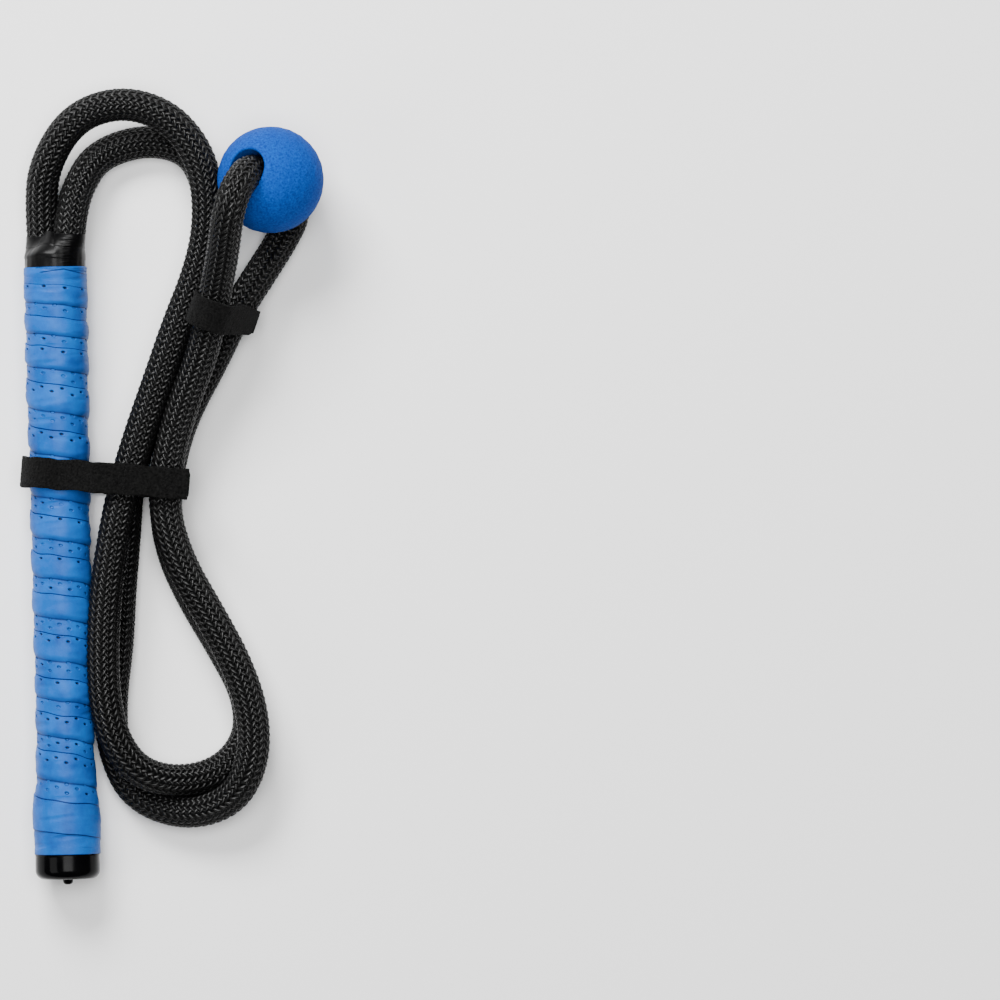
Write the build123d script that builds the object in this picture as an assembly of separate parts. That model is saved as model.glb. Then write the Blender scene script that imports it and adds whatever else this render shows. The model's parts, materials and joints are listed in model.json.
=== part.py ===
from build123d import *
import math
import os

# Folding golf swing trainer: a taped grip, one thick braided rope doubled through a foam ball,
# and two hook-and-loop straps. It lies on a surface at z = 0, folded for storage.
# Millimetres. +Y runs along the grip towards the end the rope comes out of, +Z is up.

# ---- driving dimensions ------------------------------------------------------------------
ROPE_D = 13.5

BALL_R = 22.5
BALL_AT = Vector(43.5, 137.0, 32.0)
BALL_AXIS = Vector(-0.47, 0.23, 0.85).normalized()
BALL_BORE_R = 8.5
BALL_LIP_R = 3.0

GRIP_X = -49.0
GRIP_Z = 14.5
WRAP_END_Y = 102.3
WRAP_BUTT_Y = -146.7
WRAP_THICK = 0.9
TUBE_R = 11.0
TUBE_BORE_R = 9.7
TUBE_END_Y = WRAP_END_Y
TUBE_BUTT_Y = -153.0

CAP_R = 13.7
CAP_BORE_R = 12.0
CAP_END_Y = -157.2
CAP_ROUND = 3.8
SKIRT_R = 13.5
SKIRT_Y = -124.0
NIB_R = 2.1
NIB_END_Y = -159.5

COLLAR_END_Y = 117.0
COLLAR_THICK = 0.7
ROPE_START_Y = 112.0

TAIL_R = 4.5
TAIL_SPREAD = 4.7
TAIL_IN_Y = -20.0
TAIL_NECK_Y = TUBE_END_Y
FILLER_Y = (0.0, 62.0)
WHIPPING_THICK = 0.15
WHIPPING_LENGTH = 12.0

STRAP_W = 13.0
PLY = 0.7
GAP = 0.15

# Outside radius of the finished grip, by its place along Y.
GRIP_PROFILE = [
    (WRAP_END_Y, 13.35),
    (55.0, 13.3),
    (20.0, 12.8),
    (-20.0, 12.6),
    (-60.0, 12.35),
    (-98.0, 12.25),
    (-116.0, 12.9),
    (-125.0, 14.3),
    (WRAP_BUTT_Y, 14.4),
]

# The rope's route, from one lobe of the collar, out round the arch, down and round the bottom
# loop, up into the back of the ball, out of its front, and back the same way to the other lobe.
ROUTE = [
    (-55.5, 112.0, 14.5),
    (-55.5, 128.0, 14.5),
    (-53.0, 145.0, 16.5),
    (-40.5, 165.0, 19.5),
    (-20.5, 172.0, 20.0),
    (-1.0, 166.5, 20.5),
    (11.5, 152.5, 20.5),
    (16.5, 136.0, 20.7),
    (16.5, 116.5, 20.7),
    (11.5, 97.5, 20.7),
    (2.5, 76.5, 20.3),
    (-5.5, 54.5, 20.7),
    (-14.5, 30.5, 21.8),
    (-22.0, 7.0, 23.0),
    (-27.0, -16.0, 24.0),
    (-30.5, -39.0, 24.3),
    (-32.0, -62.5, 24.5),
    (-31.5, -83.5, 23.3),
    (-27.0, -101.0, 21.3),
    (-17.0, -113.5, 18.8),
    (0.5, -117.5, 12.5),
    (18.5, -112.5, 8.0),
    (29.5, -98.5, 7.0),
    (28.5, -80.0, 7.0),
    (20.0, -60.5, 7.0),
    (9.0, -39.0, 7.0),
    (-1.0, -20.0, 7.5),
    (-5.0, 0.5, 8.5),
    (-2.0, 20.5, 8.5),
    (4.5, 39.5, 9.5),
    (16.5, 60.5, 11.0),
    (27.2, 81.5, 14.1),
    (37.0, 97.0, 11.5),
    (46.5, 111.5, 7.0),
    (53.0, 122.5, 8.0),
    (52.5, 133.0, 16.0),
    (43.5, 137.5, 32.0),
    (37.0, 141.5, 43.0),
    (34.0, 140.5, 52.5),
    (29.5, 133.5, 59.5),
    (25.0, 123.0, 60.0),
    (22.0, 106.0, 48.5),
    (18.5, 88.0, 36.0),
    (13.5, 65.0, 27.5),
    (4.0, 42.5, 23.5),
    (-2.5, 21.5, 22.7),
    (-5.0, -1.5, 22.5),
    (0.5, -24.0, 21.5),
    (11.0, -45.5, 21.0),
    (22.0, -67.0, 21.0),
    (30.0, -88.5, 21.0),
    (31.0, -109.0, 21.0),
    (22.0, -126.5, 15.5),
    (1.5, -132.5, 9.0),
    (-20.0, -124.0, 7.0),
    (-29.0, -104.0, 7.0),
    (-29.5, -81.5, 7.0),
    (-26.0, -58.5, 7.0),
    (-24.5, -35.0, 7.0),
    (-22.0, -12.0, 7.5),
    (-20.5, 9.5, 9.0),
    (-14.5, 30.5, 8.0),
    (-4.0, 54.5, 7.0),
    (8.5, 76.5, 7.0),
    (16.0, 97.5, 7.0),
    (18.5, 116.5, 7.0),
    (16.5, 135.5, 7.0),
    (10.5, 149.5, 7.0),
    (-2.0, 155.0, 7.0),
    (-17.0, 154.5, 7.0),
    (-31.0, 148.5, 8.5),
    (-39.0, 138.0, 12.0),
    (-41.9, 125.5, 14.5),
    (-41.9, 112.0, 14.5),
]
BALL_CENTRE_POINT = 36

# Storage strap: its own (s, z) section, s across the bundle from the grip's axis.
STORAGE_AT = Vector(GRIP_X, 14.4, 0.0)
STORAGE_TURN = -5.7
STORAGE_LEFT = -15.6
STORAGE_RIGHT = 54.0
STORAGE_LOW = PLY
STORAGE_GRIP_TOP = 28.3
STORAGE_ROPE_TOP = 31.0
STORAGE_INNER_END = 20.0
STORAGE_HINGE = 32.0
STORAGE_TAB_END = 55.8

# Keeper strap: its own (p, q) section, p from the upper rope leg towards the lower one.
KEEPER_AT = Vector(17.6, 81.7, 33.5)
KEEPER_NORMAL = Vector(-0.34, -0.92, -0.19).normalized()
KEEPER_DOWN = 64.3
KEEPER_R = 8.05
KEEPER_UPPER_END = -9.9
KEEPER_LOWER_END = 32.4
KEEPER_INNER_END = 2.0
KEEPER_HINGE = 6.0
KEEPER_TAB_END = 24.0


def across(y, x=GRIP_X, z=GRIP_Z):
    """The section plane square to the grip at y, on the grip's axis unless x or z is given."""
    return Plane(origin=(x, y, z), x_dir=(1, 0, 0), z_dir=(0, 1, 0))


def turned(profile):
    """A solid of revolution about the grip's axis. The profile is (radius, y) points."""
    outline = Polyline([(r, y) for r, y in profile], close=True)
    about_y = revolve(make_face(outline), Axis.Y)
    return about_y.moved(Location((GRIP_X, 0, GRIP_Z)))


def rod(radius, x, z, y_low, y_high):
    return extrude(across(y_low, x, z) * Circle(radius), y_high - y_low)


# ---- grip --------------------------------------------------------------------------------
def build_handle_tube():
    return turned([
        (TUBE_BORE_R, TUBE_BUTT_Y),
        (TUBE_R, TUBE_BUTT_Y),
        (TUBE_R, TUBE_END_Y),
        (TUBE_BORE_R, TUBE_END_Y),
    ])


def under_radius(y, outer):
    """Radius of the build-up layer: under the cap's skirt it fills the cap's bore."""
    return CAP_BORE_R if y < SKIRT_Y else outer - WRAP_THICK


def build_underwrap():
    """Build-up tape on the tube, thicker near the rope end, that the cap and wrap go over."""
    outside = [(under_radius(y, r), y) for y, r in GRIP_PROFILE if y > SKIRT_Y]
    return turned([
        (TUBE_R, TUBE_END_Y),
        (outside[0][0], TUBE_END_Y),
        *outside[1:],
        (CAP_BORE_R, SKIRT_Y),
        (CAP_BORE_R, TUBE_BUTT_Y),
        (TUBE_R, TUBE_BUTT_Y),
    ])


def build_grip_wrap():
    """The spiral grip tape as one sleeve. Its butt end laps over the cap's skirt."""
    outside = [(r, y) for y, r in GRIP_PROFILE]
    inside = [(r - WRAP_THICK, y) for y, r in GRIP_PROFILE if y > SKIRT_Y]
    return turned([
        *outside,
        (SKIRT_R, WRAP_BUTT_Y),
        (SKIRT_R, SKIRT_Y),
        (CAP_BORE_R, SKIRT_Y),
        *reversed(inside),
    ])


def build_end_cap():
    """Dip-moulded cap: a skirt under the wrap, a rounded end and a small nib."""
    outline = make_face(Polyline([
        (0, CAP_END_Y),
        (CAP_R, CAP_END_Y),
        (CAP_R, WRAP_BUTT_Y),
        (SKIRT_R, WRAP_BUTT_Y),
        (SKIRT_R, SKIRT_Y),
        (CAP_BORE_R, SKIRT_Y),
        (CAP_BORE_R, TUBE_BUTT_Y),
        (0, TUBE_BUTT_Y),
    ], close=True))
    corner = outline.vertices().sort_by_distance((CAP_R, CAP_END_Y))[0]
    outline = fillet(corner, CAP_ROUND)
    shell = revolve(outline, Axis.Y).moved(Location((GRIP_X, 0, GRIP_Z)))
    nib = rod(NIB_R, GRIP_X, GRIP_Z, NIB_END_Y, CAP_END_Y + 0.5)
    tip = nib.faces().sort_by(Axis.Y)[0]
    nib = fillet(tip.edges(), NIB_R * 0.45)
    return shell + nib


# ---- rope --------------------------------------------------------------------------------
def corner_radii(points):
    """Each arc as large as its two runs allow: 0.45 of the shorter over tan(half the turn)."""
    radii = []
    for before, at, after in zip(points, points[1:], points[2:]):
        come = Vector(at) - Vector(before)
        go = Vector(after) - Vector(at)
        half_turn = math.radians(come.get_angle(go)) / 2
        radii.append(0.45 * min(come.length, go.length) / math.tan(half_turn))
    return radii


def build_ropes():
    """Two legs and the bight inside the ball, cut from one path so they meet face to face."""
    radii = corner_radii(ROUTE)
    print("rope arc radii:", [round(r, 1) for r in radii])
    middle = BALL_CENTRE_POINT
    spans = {
        "rope_leg_a": (0, middle - 1),
        "rope_bight": (middle - 1, middle + 1),
        "rope_leg_b": (middle + 1, len(ROUTE) - 1),
    }
    path = FilletPolyline(*ROUTE, radius=radii)
    edges = path.edges()
    sweeps = {}
    for name, (first, last) in spans.items():
        low = arc_index(first, len(ROUTE))
        high = arc_index(last, len(ROUTE))
        wire = Wire(edges[low:high])
        start = Plane(origin=wire @ 0, z_dir=wire % 0)
        tube = sweep(start * Circle(ROPE_D / 2), path=wire)
        ideal = math.pi * ROPE_D**2 / 4 * wire.length
        share = tube.volume / ideal
        print(f"{name}: {wire.length:.1f} mm long, volume over section x length {share:.4f}")
        sweeps[name] = tube
    return sweeps


def arc_index(point, count):
    """Edge number where the path passes a route point: the start, the end or after its arc."""
    if point == 0:
        return 0
    if point == count - 1:
        return 2 * count - 3
    return 2 * point


def tail_centre(side):
    start = ROUTE[0] if side < 0 else ROUTE[-1]
    return start[0], start[2]


def build_tail(side):
    """A rope end with its core thinned, necked down to lie in the handle tube's bore."""
    x_out, z_out = tail_centre(side)
    x_in = GRIP_X + side * TAIL_SPREAD
    neck_end = ROPE_START_Y - 3.0
    straight = rod(TAIL_R, x_in, GRIP_Z, TAIL_IN_Y, TAIL_NECK_Y)
    small = across(TAIL_NECK_Y, x_in) * Circle(TAIL_R)
    large = across(neck_end, x_out, z_out) * Circle(ROPE_D / 2)
    neck = loft([small, large], ruled=True)
    mouth = rod(ROPE_D / 2, x_out, z_out, neck_end, ROPE_START_Y)
    return straight + neck + mouth


def build_whipping(side):
    """A turn of tape round the cut end of the rope, so that the braid can't fray."""
    x = GRIP_X + side * TAIL_SPREAD
    low = TAIL_IN_Y
    high = TAIL_IN_Y + WHIPPING_LENGTH
    outer = rod(TAIL_R + WHIPPING_THICK, x, GRIP_Z, low, high)
    return outer - rod(TAIL_R, x, GRIP_Z, low, high)


def build_anchor_filler(tails):
    """The set adhesive that holds both rope tails in the tube."""
    low, high = FILLER_Y
    plug = rod(TUBE_BORE_R, GRIP_X, GRIP_Z, low, high)
    for tail in tails:
        plug = plug - tail
    return plug


def build_collar_tape(ropes, tails):
    """Tape wound round both ropes and the end of the grip: two lobes narrowing from a round."""
    rope_middle = (ROUTE[0][0] + ROUTE[-1][0]) / 2
    rope_width = ROUTE[-1][0] - ROUTE[0][0] + ROPE_D
    round_r = GRIP_PROFILE[0][1]
    inner_r = round_r - COLLAR_THICK
    outer = loft([
        across(WRAP_END_Y) * SlotOverall(2 * round_r + 0.5, 2 * round_r),
        across(COLLAR_END_Y, rope_middle) * SlotOverall(rope_width + 1.4, ROPE_D + 1.6),
    ], ruled=True)
    inner = loft([
        across(WRAP_END_Y) * SlotOverall(2 * inner_r + 0.5, 2 * inner_r),
        across(COLLAR_END_Y, rope_middle) * SlotOverall(rope_width + 0.1, ROPE_D + 0.2),
    ], ruled=True)
    collar = outer - inner
    for solid in (*ropes, *tails):
        collar = collar - solid
    return collar


# ---- ball --------------------------------------------------------------------------------
def build_ball():
    """Foam ball with a rope bore whose two mouths are rounded over."""
    lip_x = BALL_BORE_R + BALL_LIP_R
    lip_h = math.sqrt((BALL_R - BALL_LIP_R) ** 2 - lip_x**2)
    out = BALL_R / (BALL_R - BALL_LIP_R)
    on_ball = (lip_x * out, lip_h * out)
    lip_mid_angle = (math.pi + math.atan2(lip_h, lip_x)) / 2
    lip_mid = (
        lip_x + BALL_LIP_R * math.cos(lip_mid_angle),
        lip_h + BALL_LIP_R * math.sin(lip_mid_angle),
    )
    up_lip = ThreePointArc((BALL_BORE_R, lip_h), lip_mid, on_ball)
    outside = ThreePointArc(on_ball, (BALL_R, 0), (on_ball[0], -on_ball[1]))
    low_lip = ThreePointArc((on_ball[0], -on_ball[1]), (lip_mid[0], -lip_mid[1]), (BALL_BORE_R, -lip_h))
    wall = Line((BALL_BORE_R, -lip_h), (BALL_BORE_R, lip_h))
    section = make_face([up_lip, outside, low_lip, wall])
    upright = revolve(section, Axis.Y)
    level = Vector(0, 0, 1).cross(BALL_AXIS).normalized()
    place = Plane(origin=BALL_AT, x_dir=level, z_dir=level.cross(BALL_AXIS))
    return place * upright


# ---- straps ------------------------------------------------------------------------------
def two_plies(plane, points, radii=None):
    """The hook ply and the loop ply of a strap, one each side of a path in the plane."""
    path = FilletPolyline(*points, radius=radii) if radii else Line(*points)
    faces = [make_face(offset(path, amount=PLY, side=side)) for side in (Side.LEFT, Side.RIGHT)]
    hook, loop = sorted(faces, key=distance_out)
    return [extrude(plane * face, STRAP_W / 2, both=True) for face in (hook, loop)]


def distance_out(face):
    """Orders two plies: the hook ply is the inner one of a closed loop, or the lower of a tab."""
    box = face.bounding_box()
    return round(box.size.X, 2), box.center().Y


def storage_plane():
    turn = math.radians(STORAGE_TURN)
    along_strap = Vector(math.cos(turn), math.sin(turn), 0)
    return Plane(origin=STORAGE_AT, x_dir=along_strap, z_dir=along_strap.cross(Vector(0, 0, 1)))


def storage_loop_path():
    """Once round grip and ropes, starting under the overlap and ending at the tab."""
    overlap_z = STORAGE_ROPE_TOP + 2 * PLY + GAP
    points = [
        (STORAGE_INNER_END, STORAGE_ROPE_TOP),
        (STORAGE_RIGHT, STORAGE_ROPE_TOP),
        (STORAGE_RIGHT, STORAGE_LOW),
        (STORAGE_LEFT, STORAGE_LOW),
        (STORAGE_LEFT, STORAGE_GRIP_TOP),
        (0.0, STORAGE_GRIP_TOP + 0.4),
        (STORAGE_INNER_END - 4.0, overlap_z),
        (STORAGE_HINGE, overlap_z),
    ]
    radii = [8.0, 8.0, 13.5, 13.4, 10.0, 10.0]
    return points, radii


def storage_tab_path():
    z = STORAGE_ROPE_TOP + 2 * PLY + GAP
    return [(STORAGE_HINGE + GAP, z), (STORAGE_TAB_END, z)]


def keeper_plane():
    """Square to both rope legs: local x runs down from the upper leg to the lower one."""
    down = math.radians(KEEPER_DOWN)
    level = Vector(0, 0, 1).cross(KEEPER_NORMAL).normalized()
    up = KEEPER_NORMAL.cross(level)
    towards_lower = level * math.cos(down) - up * math.sin(down)
    return Plane(origin=KEEPER_AT, x_dir=towards_lower, z_dir=KEEPER_NORMAL)


def keeper_loop_path():
    """Once round both rope legs beside the ball, then over itself to the tab."""
    overlap_q = KEEPER_R + 2 * PLY + GAP
    points = [
        (KEEPER_INNER_END, KEEPER_R),
        (KEEPER_LOWER_END, KEEPER_R),
        (KEEPER_LOWER_END, -KEEPER_R),
        (KEEPER_UPPER_END, -KEEPER_R),
        (KEEPER_UPPER_END, overlap_q),
        (KEEPER_HINGE, overlap_q),
    ]
    radii = [KEEPER_R - 0.05, KEEPER_R - 0.05, KEEPER_R - 0.05, KEEPER_R - 0.05]
    return points, radii


def keeper_tab_path():
    q = KEEPER_R + 2 * PLY + GAP
    return [(KEEPER_HINGE + GAP, q), (KEEPER_TAB_END, q)]


def build_straps():
    storage = storage_plane()
    keeper = keeper_plane()
    sections = {
        "storage_strap": (storage, *storage_loop_path()),
        "storage_tab": (storage, storage_tab_path()),
        "keeper_strap": (keeper, *keeper_loop_path()),
        "keeper_tab": (keeper, keeper_tab_path()),
    }
    plies = {}
    for name, section in sections.items():
        plies[f"{name}_hook"], plies[f"{name}_loop"] = two_plies(*section)
    return plies


def print_hinges():
    """Where the tabs turn: a line across the strap at the outer face of the outer ply."""
    storage = storage_plane()
    at = storage.from_local_coords((STORAGE_HINGE, STORAGE_ROPE_TOP + 3 * PLY + GAP, 0))
    print("storage tab hinge", at, "axis", storage.z_dir)
    keeper = keeper_plane()
    at = keeper.from_local_coords((KEEPER_HINGE, KEEPER_R + 3 * PLY + GAP, 0))
    print("keeper tab hinge", at, "axis", keeper.z_dir, "across", keeper.x_dir, keeper.y_dir)


made = {}
made["handle_tube"] = build_handle_tube()
made["underwrap"] = build_underwrap()
made["grip_wrap"] = build_grip_wrap()
made["end_cap"] = build_end_cap()
made.update(build_ropes())
made["rope_tail_a"] = build_tail(-1)
made["rope_tail_b"] = build_tail(1)
made["tail_whipping_a"] = build_whipping(-1)
made["tail_whipping_b"] = build_whipping(1)
tails = [made["rope_tail_a"], made["rope_tail_b"]]
made["anchor_filler"] = build_anchor_filler(tails)
made["collar_tape"] = build_collar_tape([made["rope_leg_a"], made["rope_leg_b"]], tails)
made["ball"] = build_ball()
made.update(build_straps())
print_hinges()

os.makedirs("parts", exist_ok=True)
for name, shape in made.items():
    export_step(shape, f"parts/{name}.step")
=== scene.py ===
"""Looks for the folding golf swing trainer: rope, grip tape, cap, collar, ball and straps."""

import json
import math

import bpy
import numpy as np
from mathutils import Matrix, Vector


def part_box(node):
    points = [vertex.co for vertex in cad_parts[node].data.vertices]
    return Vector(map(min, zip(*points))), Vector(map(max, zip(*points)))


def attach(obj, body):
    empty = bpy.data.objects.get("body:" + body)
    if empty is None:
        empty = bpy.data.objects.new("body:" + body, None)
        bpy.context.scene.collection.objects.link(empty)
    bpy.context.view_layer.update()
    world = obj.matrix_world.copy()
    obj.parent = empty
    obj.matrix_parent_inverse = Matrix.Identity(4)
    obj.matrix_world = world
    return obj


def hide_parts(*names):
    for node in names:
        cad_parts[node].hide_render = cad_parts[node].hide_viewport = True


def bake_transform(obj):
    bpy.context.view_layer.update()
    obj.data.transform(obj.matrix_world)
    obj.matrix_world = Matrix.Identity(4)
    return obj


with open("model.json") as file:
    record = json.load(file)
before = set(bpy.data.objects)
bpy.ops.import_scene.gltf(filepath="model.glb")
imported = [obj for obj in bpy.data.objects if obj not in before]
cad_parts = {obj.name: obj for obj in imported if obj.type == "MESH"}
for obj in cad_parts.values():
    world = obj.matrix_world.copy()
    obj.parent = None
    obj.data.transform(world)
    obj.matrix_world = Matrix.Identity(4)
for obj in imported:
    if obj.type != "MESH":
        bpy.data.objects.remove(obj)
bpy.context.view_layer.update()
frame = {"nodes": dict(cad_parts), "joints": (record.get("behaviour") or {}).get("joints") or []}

MM = 0.001
SEED = 7
RIPPLE_WAVES = 22

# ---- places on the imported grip, in millimetres ----
wrap_low, wrap_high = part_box("grip_wrap")
GRIP_X = (wrap_low.x + wrap_high.x) / 2 / MM
GRIP_Z = (wrap_low.z + wrap_high.z) / 2 / MM
WRAP_BUTT_Y = wrap_low.y / MM
WRAP_END_Y = wrap_high.y / MM

# ---- sizes, in millimetres unless a comment says otherwise ----
ROPE_D = 13.5
# The rope's route, from the collar's lower lobe through the ball to its upper lobe.
ROUTE_MM = [
    (-53.8, 112.0, 10.2), (-54.6, 127.0, 11.5), (-53.0, 145.0, 16.0), (-40.5, 165.0, 19.5),
    (-20.5, 172.0, 20.0), (-1.0, 166.5, 20.5), (11.5, 152.5, 20.5), (16.5, 136.0, 20.7),
    (16.5, 116.5, 20.7), (11.5, 97.5, 20.7), (2.5, 76.5, 20.3), (-5.5, 54.5, 20.7),
    (-14.5, 30.5, 21.8), (-22.0, 7.0, 23.0), (-27.0, -16.0, 24.0), (-30.5, -39.0, 24.3),
    (-32.0, -62.5, 24.5), (-31.5, -83.5, 23.3), (-27.0, -101.0, 21.3), (-17.0, -113.5, 18.8),
    (0.5, -117.6, 12.5), (18.5, -112.6, 8.0), (29.5, -98.5, 7.0), (28.5, -80.0, 7.0),
    (18.4, -60.5, 7.0), (6.0, -39.0, 7.0), (-2.2, -20.0, 7.5), (-5.0, 0.5, 8.5),
    (-2.0, 20.5, 8.5), (4.5, 39.5, 9.5), (16.5, 60.5, 11.0), (27.2, 81.5, 14.1),
    (37.5, 97.0, 11.5), (46.9, 111.3, 7.0), (53.0, 122.5, 8.0), (52.5, 133.0, 16.0),
    (43.5, 137.5, 32.0), (36.8, 140.9, 43.0), (33.8, 139.6, 52.5), (29.5, 133.5, 59.5),
    (25.8, 123.0, 60.0), (23.2, 106.0, 48.5), (19.0, 88.0, 36.0), (13.5, 65.0, 27.5),
    (4.0, 42.5, 23.5), (-2.5, 21.5, 22.7), (-5.0, -1.5, 22.5), (1.2, -24.0, 21.5),
    (13.2, -45.5, 21.0), (24.5, -67.0, 21.0), (31.3, -88.5, 21.0), (31.0, -109.0, 21.0),
    (21.8, -125.6, 15.5), (1.8, -131.5, 9.0), (-19.8, -123.4, 7.0), (-29.0, -104.0, 7.0),
    (-29.5, -81.5, 7.0), (-26.0, -58.5, 7.0), (-24.5, -35.0, 7.0), (-22.0, -12.0, 7.5),
    (-20.5, 9.5, 9.0), (-14.5, 30.5, 8.0), (-4.0, 54.5, 7.0), (8.5, 76.5, 7.0),
    (16.0, 97.5, 7.0), (18.5, 116.5, 7.0), (16.5, 135.5, 7.0), (10.5, 149.5, 7.0),
    (-2.0, 155.0, 7.0), (-17.0, 154.5, 7.0), (-31.0, 148.5, 8.5), (-37.6, 138.0, 13.5),
    (-41.6, 126.0, 17.3), (-43.0, 112.0, 18.8),
]

# Braid: 40 carriers, half each way, each passing over two and under two.
CARRIERS_EACH_WAY = 20
FLOATS_PER_TURN = 10
BRAID_LEAD = 57.0
STRAND_WIDTH = 1.62
STRAND_HEIGHT = 1.05
# How far a strand rises and dips as it crosses others, and how far it sways, in its own phase.
STRAND_WAVE = 0.42
STRAND_SWAY = 0.25
# Half a crossing, so that each float lies over two strands and not over one or three.
FLOATS_START = math.pi / 4
# How square the strand's wave is: its ends stay up or down for longer than in a sine.
WAVE_SQUARENESS = 1.6
# Half of a strand's section as shares of its width and height, from one edge to the other.
STRAND_SECTION = ((-1.0, -0.6), (-0.62, 0.45), (0.0, 1.0), (0.62, 0.45), (1.0, -0.6))
BRAID_MID_R = 6.12
CORE_R = 5.75
CORE_SIDES = 24
CORE_POINT_EVERY = 2
STRAND_STEP = 0.75
BRAID_PIECES = 5


# ---- small helpers ----
def smoothstep(low, high, x):
    """From 0 at low to 1 at high, with level ends."""
    t = np.clip((x - low) / (high - low), 0, 1)
    return t * t * (3 - 2 * t)


def hump(x, middle, width):
    """A bell curve of height 1."""
    return np.exp(-(((x - middle) / width) ** 2))


def crown(share):
    """A half wave over a share from 0 to 1."""
    return np.sin(np.pi * np.clip(share, 0, 1))


def ripple(u, v, seed, shortest, longest, stretch=1.0):
    """Smooth seeded noise of about unit size over two coordinates in millimetres."""
    rng = np.random.default_rng(SEED + seed)
    total = np.zeros(np.broadcast(u, v).shape)
    for _ in range(RIPPLE_WAVES):
        wavelength = rng.uniform(shortest, longest)
        turn = rng.uniform(0, 2 * math.pi)
        start = rng.uniform(0, 2 * math.pi)
        k = 2 * math.pi / wavelength
        total += np.sin(k * (u * math.cos(turn) / stretch + v * math.sin(turn)) + start)
    return total / math.sqrt(RIPPLE_WAVES / 2)


def unit(v):
    return v / np.linalg.norm(v, axis=-1, keepdims=True)


def grid_quads(rows, columns):
    """Faces between closed rows of points, row by row."""
    row = np.arange(rows - 1)[:, None]
    column = np.arange(columns)[None, :]
    beside = (column + 1) % columns
    corners = [row * columns + column, row * columns + beside]
    corners += [(row + 1) * columns + beside, (row + 1) * columns + column]
    return np.stack(corners, -1).reshape(-1, 4)


def fan(ring, middle, flip):
    """Triangles from a ring of point numbers to a middle one."""
    after = np.roll(ring, -1)
    middles = np.full(len(ring), middle)
    pair = (after, ring) if flip else (ring, after)
    return np.stack([*pair, middles], -1)


def solid_from_rings(rings):
    """Points and faces of a closed solid through rings of points, with flat fans as its ends."""
    count, around = rings.shape[:2]
    ends = np.stack([rings[0].mean(0), rings[-1].mean(0)])
    points = np.concatenate([rings.reshape(-1, 3), ends])
    quads = grid_quads(count, around)
    last = (count - 1) * around
    tris = np.concatenate([
        fan(np.arange(around), count * around, True),
        fan(np.arange(last, last + around), count * around + 1, False),
    ])
    return points, quads, tris


def closed_tube(rings):
    """Points and faces of a solid whose last ring is its first one again, as in a lathed ring."""
    no_tris = np.zeros((0, 3), int)
    return rings.reshape(-1, 3), grid_quads(*rings.shape[:2]), no_tris


def add_object(name, data):
    made = bpy.data.objects.new(name, data)
    bpy.context.scene.collection.objects.link(made)
    return made


def signed_volume(points, quads):
    """Six times the volume inside the quads, negative if they face inwards."""
    a, b, c, d = (points[quads[:, i]] for i in range(4))
    first = np.einsum("ij,ij->i", a, np.cross(b, c))
    second = np.einsum("ij,ij->i", a, np.cross(c, d))
    return first.sum() + second.sum()


def make_piece(name, solids, material, uvs=None, values=None):
    """One mesh object from closed solids of (points, quads, tris), in millimetres."""
    points, quads, tris, first = [], [], [], 0
    for solid_points, solid_quads, solid_tris in solids:
        outward = signed_volume(solid_points - solid_points.mean(0), solid_quads) > 0
        step = 1 if outward else -1
        points.append(solid_points)
        quads.append(solid_quads[:, ::step] + first)
        tris.append(solid_tris[:, ::step] + first)
        first += len(solid_points)
    points, quads, tris = (np.concatenate(part) for part in (points, quads, tris))
    mesh = bpy.data.meshes.new(name)
    mesh.vertices.add(len(points))
    mesh.vertices.foreach_set("co", (points * MM).astype(np.float32).ravel())
    loops = np.concatenate([quads.ravel(), tris.ravel()]).astype(np.int32)
    mesh.loops.add(len(loops))
    mesh.loops.foreach_set("vertex_index", loops)
    starts = [np.arange(len(quads)) * 4, quads.size + np.arange(len(tris)) * 3]
    mesh.polygons.add(len(quads) + len(tris))
    mesh.polygons.foreach_set("loop_start", np.concatenate(starts).astype(np.int32))
    mesh.update(calc_edges=True)
    if uvs is not None:
        layer = mesh.uv_layers.new(name="UVMap")
        layer.uv.foreach_set("vector", uvs[loops].astype(np.float32).ravel())
    for label, data in (values or {}).items():
        attribute = mesh.attributes.new(label, "FLOAT", "POINT")
        attribute.data.foreach_set("value", data.astype(np.float32))
    mesh.shade_smooth()
    piece = add_object(name, mesh)
    mesh.materials.append(material)
    return piece


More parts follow.
